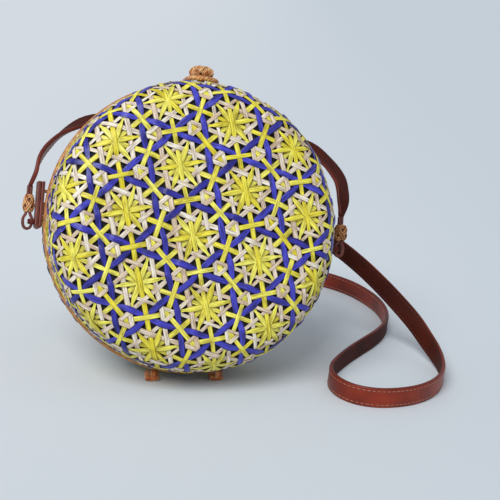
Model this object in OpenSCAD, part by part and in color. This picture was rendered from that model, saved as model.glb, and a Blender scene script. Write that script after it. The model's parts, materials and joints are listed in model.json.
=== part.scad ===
// Round woven shoulder bag. Two domed halves, woven from yellow, blue and cream strips over a black
// lining, shut face to face. Rattan knots hinge them at the bottom, a woven knob and a cord loop
// close them at the top, and a long leather strap hangs from a bead and a leather tab at each side.
// The bag stands on its hinge knots and leans back on the rounded edge of its back half.

/* [Bag] */
// Outer diameter of the rattan hoops round the two halves
rim_d = 200; // [170:1:230]
// Depth of one half, from the joint between the hoops to the middle of its face
half_depth = 40; // [36:1:46]
// Radius of the rounded edge between a face and its wall
corner_r = 20; // [17:1:23]
// Slope of the face where it meets the rounded edge, in degrees
face_slope = 1.5; // [1:0.25:3]
// Inward slope of the wall, in degrees
wall_slope = 4; // [3:0.5:6]
// Gap between the two hoops when the bag is shut
shut_gap = 0.3; // [0.2:0.05:0.5]

/* [Hoops and lining] */
// Width of a hoop along the depth of the bag
hoop_w = 3.2; // [2.6:0.1:4]
// Thickness of a hoop from its inside to its outside
hoop_t = 2.6; // [2.2:0.1:3.2]
// How far a hoop stands out past the woven wall
hoop_proud = 1.5; // [1:0.1:2]
// Thickness of the black lining, cloth over stiff board
lining_t = 1.8; // [1.2:0.1:2.6]

/* [Weave] */
// Distance between the middles of neighbouring stars
star_pitch = 47.4; // [42:0.2:60]
// Turn of the star rows on the front half, in degrees
front_turn = 41; // [0:1:60]
// Turn of the star rows on the back half, in degrees
back_turn = 19; // [0:1:60]
// Sideways place of the front half's middle star
star_x = -7.6; // [-12:0.2:12]
// Height of the front half's middle star over the middle of the bag
star_z = -8.2; // [-12:0.2:12]
// Width of a yellow strip
yellow_w = 3.4; // [2.6:0.1:4]
// Width of a blue strip
blue_w = 3.6; // [2.6:0.1:4]
// Width of a cream strip
cream_w = 2.8; // [2.2:0.1:3.2]
// Thickness of one layer of strips
strip_t = 0.35; // [0.3:0.05:0.4]
// Clearance between two layers of strips
strip_gap = 0.05; // [0.04:0.01:0.08]

/* [Hinge knots] */
// Distance between the two hinge knots
hinge_spacing = 45; // [32:1:60]
// Sideways place of the middle between the hinge knots
hinge_x = -2.4; // [-4:0.2:4]
// Radius of a rattan turn round its pin
turn_r = 2.4; // [2.1:0.1:2.8]
// Width of one rattan turn
turn_w = 2.8; // [2.4:0.2:3.6]
// Radius of the hinge pin
pin_r = 0.95; // [0.8:0.05:1.1]
// Running clearance round the pin
pin_clear = 0.08; // [0.05:0.01:0.1]
// Gap between neighbouring turns
turn_gap = 0.3; // [0.2:0.05:0.4]
// Depth of the flat worn under each hinge knot, where it stands
foot_cut = 0.4; // [0.3:0.05:0.5]

/* [Knob and loop] */
// Turn of the knob, tabs and beads round the bag from upright, in degrees
fittings_turn = 3.5; // [0:0.5:8]
// Diameter of the woven knob
knob_d = 17.2; // [15:0.2:19]
// Height of the woven knob
knob_h = 10; // [8:0.2:12]
// Diameter of the knob's neck
neck_d = 5; // [4:0.2:6]
// Thickness of the closing loop's cord
loop_t = 2.4; // [2:0.1:2.8]
// Clearance between the loop and the knob as it lifts over it
loop_clear = 0.5; // [0.4:0.1:0.8]
// Distance of the loop's pivot behind the joint of the hoops
pivot_back = 8; // [7:0.5:10]
// Thickness of the staple that holds the loop
staple_t = 1; // [0.8:0.1:1.4]
// Width of that staple along the hoop
staple_w = 8; // [6:0.5:10]

/* [Side fittings] */
// Length of the folded leather tab at each side
tab_l = 31.5; // [28:0.5:36]
// How far the middle of a tab lies below the middle of its bead
tab_drop = 0.8; // [0:0.2:1.6]
// Width of the tab along the depth of the bag
tab_w = 12; // [9:0.5:14]
// Thickness of the tab's leather
tab_t = 2.2; // [1.8:0.1:2.6]
// Gap in the tab's fold
fold_gap = 0.4; // [0.3:0.1:0.8]
// Height of the beads over the middle of the bag
bead_rise = 7; // [0:1:12]
// Diameter of a rattan bead at its middle
bead_d = 8.2; // [7.8:0.2:8.8]
// Height of a rattan bead
bead_h = 11; // [10:0.5:12.5]
// Diameter of the thong through a bead
thong_d = 4.4; // [3.8:0.2:4.8]
// Diameter of the thong's ring under a bead
ring_t = 2.6; // [2.2:0.1:3]
// Width of the thong's ring, between the middles of its strands
ring_w = 6; // [5.8:0.2:6.8]
// Height of the thong's ring
ring_h = 12.5; // [12:0.5:15]
// Travel of a bead up its thong
bead_travel = 5; // [3:0.5:6]
// Extra reach of the right tab's keeper, where the strap pulls outward
right_reach = 3.6; // [0:0.2:5]

/* [Strap] */
// Width of the strap
strap_w = 14; // [12:0.5:15]
// Thickness of the strap
strap_t = 2.6; // [2.2:0.1:3]

/* [Hidden] */

// One overrun serves every cut.
over = 1;
rim_r = rim_d / 2;
wall_r = rim_r - hoop_proud;
// The layers lie one on another from the outside in: yellow, cream, blue, then the lining.
layer = strip_t + strip_gap;
cream_in = layer;
blue_in = 2 * layer;
lining_in = 3 * layer;

// The outside of a half is a shallow dome, a rounded edge and a sloping wall, each tangent to the
// next. The rounded edge's middle is edge_r out from the axis and edge_y deep.
dome_share = tan(face_slope / 2);
edge_r = (wall_r - corner_r * cos(wall_slope) - tan(wall_slope) * (half_depth
  - corner_r * (dome_share * sin(face_slope) + cos(face_slope) - sin(wall_slope))))
  / (1 - dome_share * tan(wall_slope));
dome_rise = (edge_r + corner_r * sin(face_slope)) * dome_share;
edge_y = half_depth - dome_rise - corner_r * cos(face_slope);
dome_r = (edge_r + corner_r * sin(face_slope)) / sin(face_slope);

// The knots' pins lie straight below the joint of the hoops. The bag tips back until the rounded
// edge of its back half meets the ground.
pin_drop = rim_r + turn_gap + turn_r;
pin_z = turn_r - foot_cut;
tip_run = pin_drop - edge_r;
lean = acos((corner_r - pin_z) / norm([tip_run, edge_y])) - atan2(edge_y, tip_run);
bag_z = pin_z + pin_drop * cos(lean);
// The origin is below the middle of the bag with its side fittings, and the right one reaches further.
bag_x = -right_reach * cos(fittings_turn) / 2;

// Places of the knob, the loop and the side fittings, outward from the bag's middle.
loop_r = rim_r + turn_gap + loop_t / 2;
neck_top = loop_r + loop_t / 2 + turn_gap;
knob_mid = neck_top + knob_h / 2;
knob_y = -(shut_gap + hoop_w) / 2;
tab_in = rim_r + turn_gap;
tab_out = tab_in + 2 * tab_t + fold_gap;
keeper_h = ring_h - ring_w - ring_t - 2 * turn_gap;
keeper_t = ring_t / 2;
ring_in = tab_out + ring_t / 2 + turn_gap;
thong_out = ring_in + ring_w / 2;
thong_top = bead_h / 2 + bead_travel + strap_t / 2;
tab_mid_y = shut_gap * 2 + tab_w / 2;
ring_top = -bead_h / 2 - turn_gap;
bead_end_share = 0.68;
bead_bow = bead_d / 2 * (1 - bead_end_share);
bead_bow_r = (bead_h * bead_h / 4 + bead_bow * bead_bow) / (2 * bead_bow);

dome_steps = 2;
edge_steps = 5;
round_fn = 48;

// The strap's route: each point's place from below the bag, then the way that the width lies. It rises
// from the left bead, passes behind the bag, comes down at the right to a loop that stands on the
// ground, and runs back behind the bag and up to the right bead.
strap_route = [
  [[-105, 17, 129], [0, 3, -1]],
  [[-102, 25, 137], [1, 5, -1]],
  [[-95, 37, 144], [1, 4, -1]],
  [[-82, 52, 152], [1, 4, 0]],
  [[-63, 67, 158], [0, 4, 1]],
  [[-40, 76, 156], [0, 3, 3]],
  [[-12, 77, 145], [1, 1, 3]],
  [[20, 74, 130], [2, 1, 4]],
  [[52, 68, 114], [3, 0, 5]],
  [[82, 61, 99], [3, -1, 4]],
  [[108, 55, 86], [4, -2, 5]],
  [[131, 50, 74], [4, -3, 5]],
  [[150, 46, 61], [4, -3, 5]],
  [[166, 40, 48], [4, -3, 5]],
  [[180, 32, 35], [4, -2, 6]],
  [[190, 20, 24], [3, -1, 6]],
  [[195, 5, 15], [2, -1, 6]],
  [[196, -11, 10], [1, 0, 6]],
  [[193, -28, 8], [0, 0, 1]],
  [[186, -45, 7], [0, 0, 1]],
  [[175, -61, 7], [0, 0, 1]],
  [[160, -74, 7], [0, 0, 1]],
  [[142, -82, 7], [0, 0, 1]],
  [[122, -84, 7], [0, 0, 1]],
  [[107, -78, 7], [0, 0, 1]],
  [[99, -66, 7], [0, 0, 1]],
  [[98, -51, 7], [0, 0, 1]],
  [[103, -37, 7], [0, 0, 1]],
  [[114, -22, 7], [0, 0, 1]],
  [[130, -4, 7], [0, 0, 1]],
  [[147, 13, 7], [0, 0, 1]],
  [[163, 29, 7], [0, 0, 1]],
  [[177, 46, 7], [0, 0, 1]],
  [[188, 65, 7], [0, 0, 1]],
  [[195, 87, 7], [0, 0, 1]],
  [[198, 111, 7], [0, 0, 1]],
  [[196, 135, 7], [0, 0, 1]],
  [[190, 156, 7], [0, 0, 1]],
  [[179, 174, 7], [0, 0, 1]],
  [[162, 189, 7], [0, 0, 1]],
  [[140, 199, 7], [0, 0, 1]],
  [[115, 204, 8], [0, 0, 1]],
  [[90, 203, 12], [0, 1, 5]],
  [[68, 196, 21], [-1, 2, 4]],
  [[52, 183, 36], [-2, 3, 3]],
  [[43, 166, 56], [-3, 3, 2]],
  [[41, 147, 79], [-3, 2, 2]],
  [[45, 128, 102], [-2, 1, 2]],
  [[54, 110, 123], [-1, 0, 2]],
  [[68, 94, 138], [0, 0, 2]],
  [[86, 80, 147], [1, 2, 3]],
  [[103, 66, 147], [2, 3, 2]],
  [[114, 51, 140], [3, 4, 1]],
  [[119, 37, 132], [3, 4, 1]],
  [[119, 25, 124], [3, 3, 0]],
  [[117, 16, 116], [2, 1, 0]]
];

straw_yellow = [0.90, 0.87, 0.25];
royal_blue = [0.22, 0.22, 0.72];
pale_cream = [0.86, 0.80, 0.70];
rattan = [0.72, 0.42, 0.18];
chestnut = [0.42, 0.16, 0.09];
black_cloth = [0.06, 0.06, 0.07];

// The outline of a half, lying inward of its outside by inset, from the axis to the depth from_y.
function half_outline(inset, from_y) = concat(
  [for (i = [0 : dome_steps])
    let (a = face_slope * i / dome_steps)
    [(dome_r - inset) * sin(a), half_depth - dome_r + (dome_r - inset) * cos(a)]],
  [for (i = [1 : edge_steps])
    let (a = face_slope + (90 - wall_slope - face_slope) * i / edge_steps)
    [edge_r + (corner_r - inset) * sin(a), edge_y + (corner_r - inset) * cos(a)]],
  [[wall_r - inset / cos(wall_slope) - from_y * tan(wall_slope), from_y]]
);

function reversed(list) = [for (i = [len(list) - 1 : -1 : 0]) list[i]];

// A layer of a half, between two insets, standing on the depth from_y, with the axis along Z.
module half_layer(outer, inner, from_y) {
  rotate_extrude($fn = round_fn)
    polygon(concat(half_outline(outer, from_y), reversed(half_outline(inner, from_y))));
}

// Stands the bag up: the bag's own middle, leaning back, over the ground.
module standing() {
  translate([bag_x, 0, bag_z])
    rotate([-lean, 0, 0])
      children();
}

// Turns a half drawn with its depth along Z to face the front.
module facing_front() {
  standing()
    rotate([90, 0, 0])
      children();
}

// Turns a half drawn with its depth along Z to face the back.
module facing_back() {
  standing()
    rotate([-90, 0, 0])
      children();
}

// Parallel strips of one direction, shift apart from the star rows, drawn flat.
module strip_row(width, pitch, shift, turn) {
  reach = edge_r + corner_r / 2;
  rotate(turn)
    for (i = [-ceil(reach / pitch) : ceil(reach / pitch)]) {
      y = i * pitch + shift;
      if (abs(y) < reach)
        translate([-wall_r, y - width / 2])
          square([2 * wall_r, width]);
    }
}

// Distance of the middle star from the strip that runs at an angle through the bag's middle.
function star_shift(turn) = star_z * cos(turn) - star_x * sin(turn);

// How far apart the rows of stars and the rows across them lie, as shares of the star pitch.
row_share = sqrt(3) / 2;
cross_share = 0.5;
blue_share = sqrt(3) / 4;
cream_share = 0.225;

function wrapped(v, pitch) = v - pitch * round(v / pitch);

module yellow_pattern(turn) {
  for (a = [0 : 60 : 120]) {
    along = turn + a;
    strip_row(yellow_w, row_share * star_pitch, wrapped(star_shift(along), row_share * star_pitch), along);
    across = along + 30;
    strip_row(yellow_w, cross_share * star_pitch, wrapped(star_shift(across), cross_share * star_pitch), across);
  }
}

module blue_pattern(turn) {
  for (a = [0 : 60 : 120])
    strip_row(blue_w, row_share * star_pitch,
      wrapped(star_shift(turn + a) + blue_share * star_pitch, row_share * star_pitch), turn + a);
}

module cream_pattern(turn) {
  for (a = [0 : 60 : 120], side = [-1, 1])
    strip_row(cream_w, row_share * star_pitch,
      wrapped(star_shift(turn + a) + side * cream_share * star_pitch, row_share * star_pitch), turn + a);
}

// A net of strips: the pattern's flat strips bent over the half, one layer thick.
module strip_net(inset) {
  base_y = shut_gap / 2 + hoop_w + strip_gap;
  intersection() {
    half_layer(inset, inset + strip_t, base_y);
    linear_extrude(half_depth + over)
      children();
  }
}

module hoop() {
  half_t = hoop_w / 2;
  round_in = rim_r - half_t;
  rotate_extrude($fn = round_fn)
    translate([0, shut_gap / 2])
      union() {
        translate([rim_r - hoop_t, 0])
          square([hoop_t - half_t, hoop_w]);
        intersection() {
          translate([round_in, half_t])
            circle(half_t, $fn = round_fn);
          translate([round_in, 0])
            square([half_t, hoop_w]);
        }
      }
}

module lining() {
  half_layer(lining_in, lining_in + lining_t, shut_gap / 2);
}

module back_lining() {
  color(black_cloth) facing_back() lining();
}

module lid_lining() {
  color(black_cloth) facing_front() lining();
}

module back_hoop() {
  color(rattan) facing_back() hoop();
}

module lid_hoop() {
  color(rattan) facing_front() hoop();
}

module back_yellow_strips() {
  color(straw_yellow) facing_back() strip_net(0) yellow_pattern(back_turn);
}

module back_cream_strips() {
  color(pale_cream) facing_back() strip_net(cream_in) cream_pattern(back_turn);
}

module back_blue_strips() {
  color(royal_blue) facing_back() strip_net(blue_in) blue_pattern(back_turn);
}

module lid_yellow_strips() {
  color(straw_yellow) facing_front() strip_net(0) yellow_pattern(front_turn);
}

module lid_cream_strips() {
  color(pale_cream) facing_front() strip_net(cream_in) cream_pattern(front_turn);
}

module lid_blue_strips() {
  color(royal_blue) facing_front() strip_net(blue_in) blue_pattern(front_turn);
}

// A cylinder along X, centred on the origin.
module along_x(radius, length) {
  rotate([0, 90, 0])
    cylinder(r = radius, h = length, center = true, $fn = round_fn);
}

// One hinge knot's fixed turns, one at each end of the pin, tied to the back half's hoop.
module hinge_knot(x) {
  step = turn_w + turn_gap;
  difference() {
    standing()
      translate([x, 0, -pin_drop]) {
        along_x(pin_r, 2 * step + turn_w);
        for (side = [-1, 1])
          translate([side * step, 0, 0]) {
            along_x(turn_r, turn_w);
            difference() {
              translate([-turn_w / 2, shut_gap / 2, 0])
                cube([turn_w, hoop_w, pin_drop - rim_r + hoop_proud]);
              translate([-side * step - x, 0, pin_drop])
                facing_hoop_cut();
            }
          }
      }
    translate([x - 2 * step, -rim_r, -rim_r])
      cube([4 * step, rim_d, rim_r]);
  }
}

// Room for the hoop where a turn's tie meets it, in the bag's own axes.
module facing_hoop_cut() {
  rotate([90, 0, 0])
    cylinder(r = rim_r, h = rim_d, center = true, $fn = 2 * round_fn);
}

// The lid's turn between them, which runs on the pin and is tied to the lid's hoop.
module hinge_turn(x) {
  moving_r = turn_r - foot_cut - strip_gap;
  standing()
    translate([x, 0, -pin_drop])
      difference() {
        union() {
          along_x(moving_r, turn_w);
          difference() {
            translate([-turn_w / 2, -shut_gap / 2 - hoop_w, 0])
              cube([turn_w, hoop_w, pin_drop - rim_r + hoop_proud]);
            translate([-x, 0, pin_drop])
              facing_hoop_cut();
          }
        }
        along_x(pin_r + pin_clear, turn_w + over);
      }
}

module hinge_knot_left() {
  color(rattan) hinge_knot(hinge_x - hinge_spacing / 2);
}

module hinge_knot_right() {
  color(rattan) hinge_knot(hinge_x + hinge_spacing / 2);
}

module lid_hinge_turn_left() {
  color(rattan) hinge_turn(hinge_x - hinge_spacing / 2);
}

module lid_hinge_turn_right() {
  color(rattan) hinge_turn(hinge_x + hinge_spacing / 2);
}

// The knob: a flattened woven ball on a neck that rises from the lid's hoop.
module clasp_knob() {
  color(rattan)
    standing()
      rotate([0, fittings_turn, 0])
        translate([0, knob_y, 0]) {
          translate([0, 0, knob_mid])
            rotate_extrude($fn = round_fn)
              polygon([for (a = [-90 : 15 : 90]) [knob_d / 2 * cos(a), knob_h / 2 * sin(a)]]);
          translate([0, 0, rim_r + strip_gap])
            cylinder(d = neck_d, h = knob_mid - rim_r - strip_gap, $fn = round_fn);
        }
}

// The loop lies round the knob's neck, from a bar held in the staple to its bow in front.
loop_w = knob_d + 2 * loop_clear + loop_t;
loop_reach = norm([pivot_back - knob_y, knob_mid - loop_r]) + knob_d / 2 + loop_clear + loop_t / 2;
loop_bow_y = pivot_back - loop_reach + loop_w / 2;

// A bend of the loop's cord, in the loop's plane: a turn of angle at the radius bend.
module loop_bend(bend, angle) {
  rotate_extrude(angle = angle, $fn = round_fn)
    translate([bend, 0])
      circle(d = loop_t, $fn = round_fn);
}

module clasp_loop() {
  corner = loop_t;
  color(rattan)
    standing()
      rotate([0, fittings_turn, 0])
        translate([0, 0, loop_r]) {
          translate([0, loop_bow_y, 0])
            rotate(180)
              loop_bend(loop_w / 2, 180);
          for (side = [0, 1])
            mirror([side, 0, 0])
              translate([loop_w / 2, 0, 0]) {
                translate([0, pivot_back - corner, 0])
                  rotate([90, 0, 0])
                    cylinder(d = loop_t, h = pivot_back - corner - loop_bow_y, $fn = round_fn);
                translate([-corner, pivot_back - corner, 0])
                  loop_bend(corner, 90);
              }
          translate([0, pivot_back, 0])
            along_x(loop_t / 2, loop_w - 2 * corner);
        }
}

// The staple, a turn of split rattan, holds the loop's bar on the wall of the back half.
module loop_staple() {
  staple_r = loop_t / 2 + pin_clear + staple_t;
  color(rattan)
    standing()
      rotate([0, fittings_turn, 0])
        difference() {
          translate([0, pivot_back, 0]) {
            translate([0, 0, loop_r])
              along_x(staple_r, staple_w);
            translate([-staple_w / 2, -staple_r, edge_r])
              cube([staple_w, 2 * staple_r, loop_r - edge_r]);
          }
          translate([0, pivot_back, loop_r])
            along_x(loop_t / 2 + pin_clear, staple_w + over);
          rotate([90, 0, 0])
            mirror([0, 0, 1])
              rotate_extrude($fn = 2 * round_fn)
                polygon(concat([[0, 0]], half_outline(-strip_gap, 0)));
        }
}

// Turns a side fitting to its place: side is -1 at the left and 1 at the right. Inside, X points
// outward, Z along the strap and the origin is on the bag's own axis.
module at_side(side) {
  standing()
    rotate([0, fittings_turn, 0])
      translate([0, 0, bead_rise])
        mirror([side < 0 ? 1 : 0, 0, 0])
          children();
}

// The tab is a leather strip folded back on itself, with a keeper for the thong's ring. The keeper
// reaches further out where reach is more than 0.
module side_tab(reach) {
  fold_r = tab_t + fold_gap / 2;
  keeper_z = ring_top - ring_h / 2 - keeper_h / 2;
  translate([0, shut_gap * 2, -tab_drop]) {
    translate([tab_in, 0, -tab_l / 2 + fold_r])
      cube([tab_t, tab_w, tab_l - fold_r]);
    translate([tab_out - tab_t, 0, -tab_l / 2 + fold_r])
      cube([tab_t, tab_w, tab_l - fold_r]);
    translate([tab_in + fold_r, tab_w / 2, -tab_l / 2 + fold_r])
      rotate([90, 0, 0])
        difference() {
          cylinder(r = fold_r, h = tab_w, center = true, $fn = round_fn);
          cylinder(r = fold_gap / 2, h = tab_w + over, center = true, $fn = round_fn);
          translate([-fold_r - over, 0, -tab_w])
            cube([2 * (fold_r + over), fold_r + over, 2 * tab_w]);
        }
  }
  translate([tab_out, tab_mid_y, keeper_z])
    linear_extrude(keeper_h)
      difference() {
        keeper_outline(ring_t / 2 + turn_gap + keeper_t, reach);
        keeper_outline(ring_t / 2 + turn_gap, reach);
      }
}

// The keeper's outline seen from above: straight legs from the tab to the ring's strand, then
// half a turn round it.
module keeper_outline(radius, reach) {
  middle = ring_in - tab_out + reach;
  translate([0, -radius])
    square([middle, 2 * radius]);
  translate([middle, 0])
    intersection() {
      circle(radius, $fn = round_fn);
      translate([0, -radius])
        square([radius, 2 * radius]);
    }
}

module side_tab_left() {
  color(chestnut) at_side(-1) side_tab(0);
}

module side_tab_right() {
  color(chestnut) at_side(1) side_tab(right_reach);
}

// The strap's end narrows to a round thong. It runs through the bead into a ring that hangs in
// the tab's keeper.
module strap_thong() {
  arc_r = ring_w / 2;
  low = ring_top - ring_h + arc_r + ring_t / 2;
  high = ring_top - arc_r - ring_t / 2;
  translate([thong_out, tab_mid_y, 0]) {
    for (side = [-1, 1])
      translate([side * arc_r, 0, low])
        cylinder(d = ring_t, h = high - low, $fn = round_fn);
    for (end = [[low, -1], [high, 1]])
      translate([0, 0, end[0]])
        rotate([end[1] * 90, 0, 0])
          rotate_extrude(angle = 180, $fn = round_fn)
            translate([arc_r, 0])
              circle(d = ring_t, $fn = round_fn);
    translate([0, 0, ring_top - ring_t / 2])
      cylinder(d = thong_d, h = thong_top - ring_top + ring_t / 2, $fn = round_fn);
  }
}

module strap_thong_left() {
  color(chestnut) at_side(-1) strap_thong();
}

module strap_thong_right() {
  color(chestnut) at_side(1) translate([right_reach, 0, 0]) strap_thong();
}

// A bead is a barrel, flat at both ends, that slides on the thong beside the tab.
module strap_bead() {
  hole_r = thong_d / 2 + pin_clear;
  translate([thong_out, tab_mid_y, 0])
    rotate_extrude($fn = round_fn)
      intersection() {
        translate([bead_d / 2 - bead_bow_r, 0])
          circle(bead_bow_r, $fn = round_fn);
        translate([hole_r, -bead_h / 2])
          square([bead_d, bead_h]);
      }
}

module strap_bead_left() {
  color(rattan) at_side(-1) strap_bead();
}

module strap_bead_right() {
  color(rattan) at_side(1) translate([right_reach, 0, 0]) strap_bead();
}

// Where a point in the bag's own axes stands over the ground.
function stood(p) = [p.x + bag_x, p.y * cos(lean) + p.z * sin(lean),
                     bag_z - p.y * sin(lean) + p.z * cos(lean)];

// Where the strap meets the top of a thong.
function strap_end(side) =
  let (x = side < 0 ? -thong_out : thong_out + right_reach, z = thong_top + bead_rise)
  stood([x * cos(fittings_turn) + z * sin(fittings_turn), tab_mid_y,
    z * cos(fittings_turn) - x * sin(fittings_turn)]);

function unit(v) = v / norm(v);
function sum(list, i = 0) = i < len(list) ? list[i] + sum(list, i + 1) : 0;

// The strap's eight-sided section, wide along across and thin along out.
section_shares = [[1, 0.4], [0.85, 1], [-0.85, 1], [-1, 0.4], [-1, -0.4], [-0.85, -1], [0.85, -1], [1, -0.4]];

function strap_ring(place, along, across_hint, width) =
  let (
    across = unit(across_hint - (across_hint * along) * along),
    out = cross(across, along)
  )
  [for (s = section_shares) place + s[0] * width / 2 * across + s[1] * strap_t / 2 * out];

// The strap, a flat band through the points of its route. It narrows to the thong at both ends.
module shoulder_strap() {
  laid = [for (r = strap_route) [r[0] + [bag_x, 0, 0], r[1]]];
  route = concat([[strap_end(-1), [0, 3, -1]]], laid, [[strap_end(1), [1, 1, 0]]]);
  last = len(route) - 1;
  sides = len(section_shares);
  points = [for (i = [0 : last])
    let (
      along = unit(route[min(i + 1, last)][0] - route[max(i - 1, 0)][0]),
      width = (i == 0 || i == last) ? thong_d : (i == 1 || i == last - 1) ? (thong_d + strap_w) / 2 : strap_w
    )
    each strap_ring(route[i][0], along, route[i][1], width)];
  walls = [for (i = [0 : last - 1], k = [0 : sides - 1])
    let (a = i * sides + k, b = i * sides + (k + 1) % sides)
    each [[a, b, b + sides], [a, b + sides, a + sides]]];
  caps = [[for (k = [sides - 1 : -1 : 0]) k], [for (k = [0 : sides - 1]) last * sides + k]];
  echo(strap_length = sum([for (i = [0 : last - 1]) norm(route[i + 1][0] - route[i][0])]));
  color(chestnut)
    polyhedron(points, concat(walls, caps));
}

back_lining();
back_hoop();
back_blue_strips();
back_cream_strips();
back_yellow_strips();
lid_lining();
lid_hoop();
lid_blue_strips();
lid_cream_strips();
lid_yellow_strips();
hinge_knot_left();
hinge_knot_right();
lid_hinge_turn_left();
lid_hinge_turn_right();
clasp_knob();
clasp_loop();
loop_staple();
side_tab_left();
side_tab_right();
strap_thong_left();
strap_thong_right();
strap_bead_left();
strap_bead_right();
shoulder_strap();
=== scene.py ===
# %% [markdown]
# # A round star-woven shoulder bag
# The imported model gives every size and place. This lesson dresses it: each real piece, from the
# woven strips to the stitches in the strap, becomes a mesh with a material of its own.
# The frame comes first, because every later cell measures from it.

# %% Load the frame
import json
import bpy
import numpy as np
from mathutils import Matrix, Vector


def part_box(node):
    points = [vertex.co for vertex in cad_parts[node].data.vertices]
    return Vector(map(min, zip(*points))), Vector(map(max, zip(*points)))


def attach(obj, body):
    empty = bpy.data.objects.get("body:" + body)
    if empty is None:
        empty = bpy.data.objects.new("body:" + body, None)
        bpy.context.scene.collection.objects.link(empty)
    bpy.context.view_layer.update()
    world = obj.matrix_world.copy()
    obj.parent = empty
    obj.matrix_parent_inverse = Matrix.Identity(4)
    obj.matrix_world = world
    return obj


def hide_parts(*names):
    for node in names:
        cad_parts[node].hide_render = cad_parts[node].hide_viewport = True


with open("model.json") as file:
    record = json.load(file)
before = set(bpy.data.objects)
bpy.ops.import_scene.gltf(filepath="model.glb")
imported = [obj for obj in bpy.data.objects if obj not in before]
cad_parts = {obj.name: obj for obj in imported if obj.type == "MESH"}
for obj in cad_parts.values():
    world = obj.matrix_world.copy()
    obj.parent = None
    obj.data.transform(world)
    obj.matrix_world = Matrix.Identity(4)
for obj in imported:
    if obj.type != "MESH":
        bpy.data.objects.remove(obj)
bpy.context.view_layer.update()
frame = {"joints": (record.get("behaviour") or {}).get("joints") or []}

MM = 0.001

# %% [markdown]
# The bag leans back on its rounded edge, so its own axes are turned against the ground. The beads
# slide along the bag's side, and their joint's axis tells how far the bag leans and how far its
# fittings are turned round from the top. Working in the bag's own axes keeps every later cell simple.

# %% The bag's own axes
slide_axis = np.array(next(j["axis"] for j in frame["joints"] if j["name"] == "bead_slide_left"))
LEAN = np.arctan2(slide_axis[1], slide_axis[2])
FITTINGS_TURN = np.arcsin(slide_axis[0])
low, high = (np.array(corner) for corner in zip(*(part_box(n) for n in ("back_lining", "lid_lining"))))
BAG_MIDDLE = (low.min(0) + high.max(0)) / 2
hoop_low, hoop_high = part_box("back_hoop")
RIM_R = (hoop_high[0] - hoop_low[0]) / 2 / MM


def turned(a, b, angle):
    """Two coordinates of some points, turned together by an angle."""
    return a * np.cos(angle) + b * np.sin(angle), b * np.cos(angle) - a * np.sin(angle)


def standing(points):
    """Points in the bag's own axes, in mm, as points of the frame, in metres."""
    x, y, z = np.asarray(points, float).T
    return np.stack([x, *turned(y, z, LEAN)], 1) * MM + BAG_MIDDLE


def fitted(points):
    """Points in the fittings' axes, turned round the bag from its top, in the bag's own axes."""
    x, y, z = np.asarray(points, float).T
    x, z = turned(x, z, FITTINGS_TURN)
    return np.stack([x, y, z], 1)


def on_ground(points):
    """The points, where those that would lie below the ground are pressed flat on it."""
    return np.maximum(points, (-np.inf, -np.inf, 0))


print(f"lean {np.degrees(LEAN):.1f} degrees, rim radius {RIM_R:.1f} mm")

# %% [markdown]
# The camera stands where the photographer stood: a little above the bag and to its left, with the
# frame rolled slightly. A long lens keeps the bag's circle round. Its place and angles are real
# sizes, so the same cell would frame another bag.

# %% Camera
CAMERA_AIM = Vector(np.array([43.3, 0, 84.3]) * MM)
CAMERA_DISTANCE = 784 * MM
CAMERA_AZIMUTH, CAMERA_ELEVATION, CAMERA_ROLL = np.radians([-17.6, 15.3, 6.2])
CAMERA_LENS = 80.1


def add_object(name, data):
    """A new object with this mesh, light or camera, put in the scene."""
    new = bpy.data.objects.new(name, data)
    bpy.context.scene.collection.objects.link(new)
    return new


camera = add_object("camera", bpy.data.cameras.new("camera"))
camera.data.lens = CAMERA_LENS
camera.data.sensor_width = 36
camera.data.clip_end = 50
back = Vector((np.sin(CAMERA_AZIMUTH) * np.cos(CAMERA_ELEVATION),
               -np.cos(CAMERA_AZIMUTH) * np.cos(CAMERA_ELEVATION), np.sin(CAMERA_ELEVATION)))
turn = back.to_track_quat("Z", "Y").to_matrix() @ Matrix.Rotation(CAMERA_ROLL, 3, "Z")
camera.matrix_world = Matrix.Translation(CAMERA_AIM + back * CAMERA_DISTANCE) @ turn.to_4x4()
bpy.context.scene.camera = camera
print("camera stands at", [round(v, 3) for v in camera.matrix_world.translation])

# %% [markdown]
# Every piece below is computed as arrays of points, so one helper turns points and faces into a
# Blender mesh. It can also store a UV map, which lets a material run its grain along a strip, and a
# number per point that a material reads to make one strip differ from the next.

# %% Mesh helpers
def make_piece(name, points, faces, material, body, node=None, slot="rattan", uv=None, shade=None,
               edges=None):
    """A mesh object, in metres, that rides on a body and stands for a node, if one is named.
    uv and shade hold a row per point. edges is (materials..., rows): which of them each face wears."""
    mesh = bpy.data.meshes.new(name)
    mesh.from_pydata(points.tolist(), [], faces)
    if uv is not None:
        corners = np.empty(len(mesh.loops), int)
        mesh.loops.foreach_get("vertex_index", corners)
        mesh.uv_layers.new(name="along").data.foreach_set("uv", uv[corners].ravel())
    if shade is not None:
        mesh.attributes.new("shade", "FLOAT", "POINT").data.foreach_set("value", np.float32(shade))
    mesh.polygons.foreach_set("use_smooth", [True] * len(mesh.polygons))
    *extra_materials, rows = edges or (None,)
    for each in [material, *extra_materials]:
        mesh.materials.append(each)
    if edges:
        mesh.polygons.foreach_set("material_index", np.asarray(rows, np.int32))
    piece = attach(add_object(name, mesh), body)
    if node:
        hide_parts(node)
    return piece


def ring_faces(rings, sides, closed=False, caps=True):
    """The faces that join rings of points into a tube, with one over each open end."""
    i, k = np.meshgrid(np.arange(rings if closed else rings - 1), np.arange(sides), indexing="ij")
    j, l = (i + 1) % rings, (k + 1) % sides
    corners = [i * sides + k, i * sides + l, j * sides + l, j * sides + k]
    faces = np.stack(corners, -1).reshape(-1, 4).tolist()
    if caps and not closed:
        faces += [list(range(sides))[::-1], list(range((rings - 1) * sides, rings * sides))]
    return faces


def turned_faces(faces, way):
    """The faces as they are, or turned inside out when way is below 0."""
    return faces if way > 0 else [face[::-1] for face in faces]


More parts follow.
